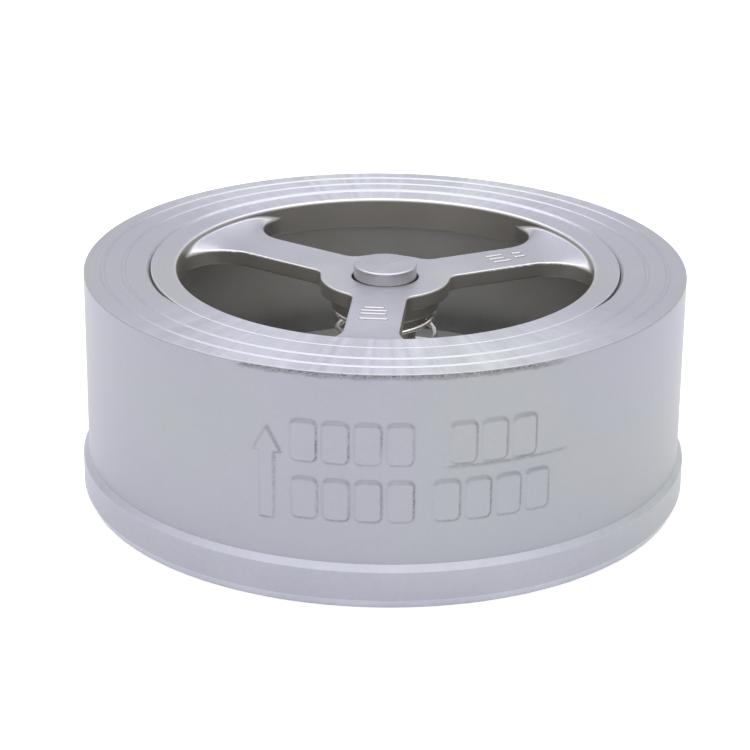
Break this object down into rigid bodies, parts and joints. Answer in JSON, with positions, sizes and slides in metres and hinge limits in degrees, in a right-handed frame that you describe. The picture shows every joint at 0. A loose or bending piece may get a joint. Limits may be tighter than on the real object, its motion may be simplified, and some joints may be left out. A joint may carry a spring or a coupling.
{
  "type": "wafer check valve",
  "caption": "Round wafer lift check valve with a three-arm guide frame in its outlet, a sprung disc on a guide stem, a centring rim and a raised flow arrow.",
  "frame": {"origin": "centre of the inlet face, on which the valve stands", "axes": "+Z along the axis in the flow direction, from the inlet face to the outlet face; the side with the flow arrow and the raised blocks faces -Y"},
  "size_m": [0.132, 0.132, 0.05],
  "materials": {
    "cast_body": "bead-blasted stainless casting, machined faces",
    "cast_frame": "bead-blasted stainless casting",
    "turned_disc": "turned stainless steel",
    "turned_stem": "turned stainless steel",
    "fastener_steel": "plain stainless steel",
    "spring_wire": "drawn stainless wire"
  },
  "bodies": {
    "valve": {"valve_body": "cast_body", "guide_frame": "cast_frame", "closing_spring": "spring_wire"},
    "disc_assembly": {"valve_disc": "turned_disc", "guide_stem": "turned_stem", "lock_washer": "fastener_steel", "stem_nut": "fastener_steel"}
  },
  "joints": [
    {"name": "disc_lift", "type": "slide", "parent": "valve", "child": "disc_assembly", "axis": [0, 0, 1], "range_m": [0, 0.012], "stiffness_N_per_m": 625, "springref_m": -0.012, "deforming": ["closing_spring"]}
  ]
}
